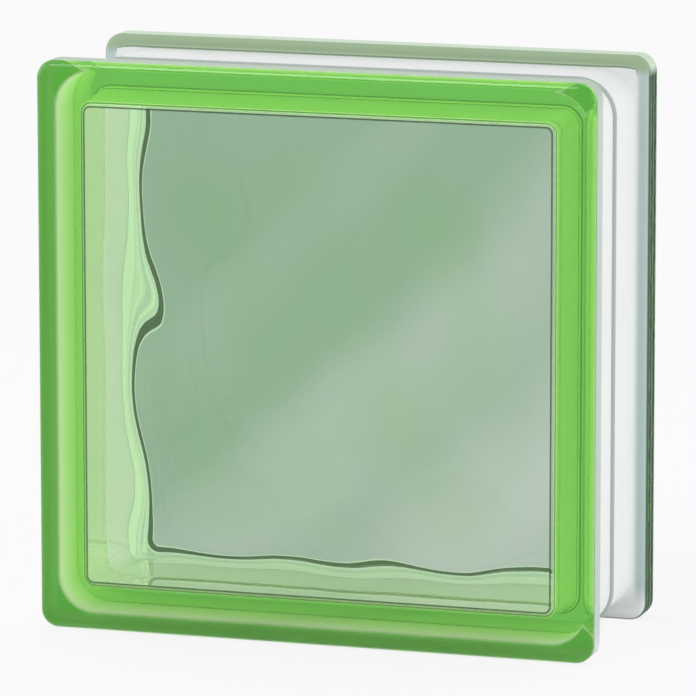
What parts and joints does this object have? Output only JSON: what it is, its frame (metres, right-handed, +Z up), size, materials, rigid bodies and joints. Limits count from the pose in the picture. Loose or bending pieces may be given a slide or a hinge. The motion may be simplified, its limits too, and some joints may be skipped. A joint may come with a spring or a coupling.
{
  "type": "glass block",
  "caption": "Square hollow glass block: a green front half and a clear rear half fused rim to rim, wavy inside, with a recessed mortar channel round its edges.",
  "frame": {"origin": "under the middle of the block, on the surface that its lower flange edges stand on", "axes": "+Z up, +Y from the green front face to the clear rear face, +X along the width"},
  "size_m": [0.19, 0.08, 0.19],
  "materials": {
    "green_glass": "polished face, green in the mass, white coat on the sides",
    "clear_glass": "polished face, clear, white coat on the channel's floor"
  },
  "bodies": {
    "root": {"front_shell": "green_glass", "rear_shell": "clear_glass"}
  },
  "joints": []
}
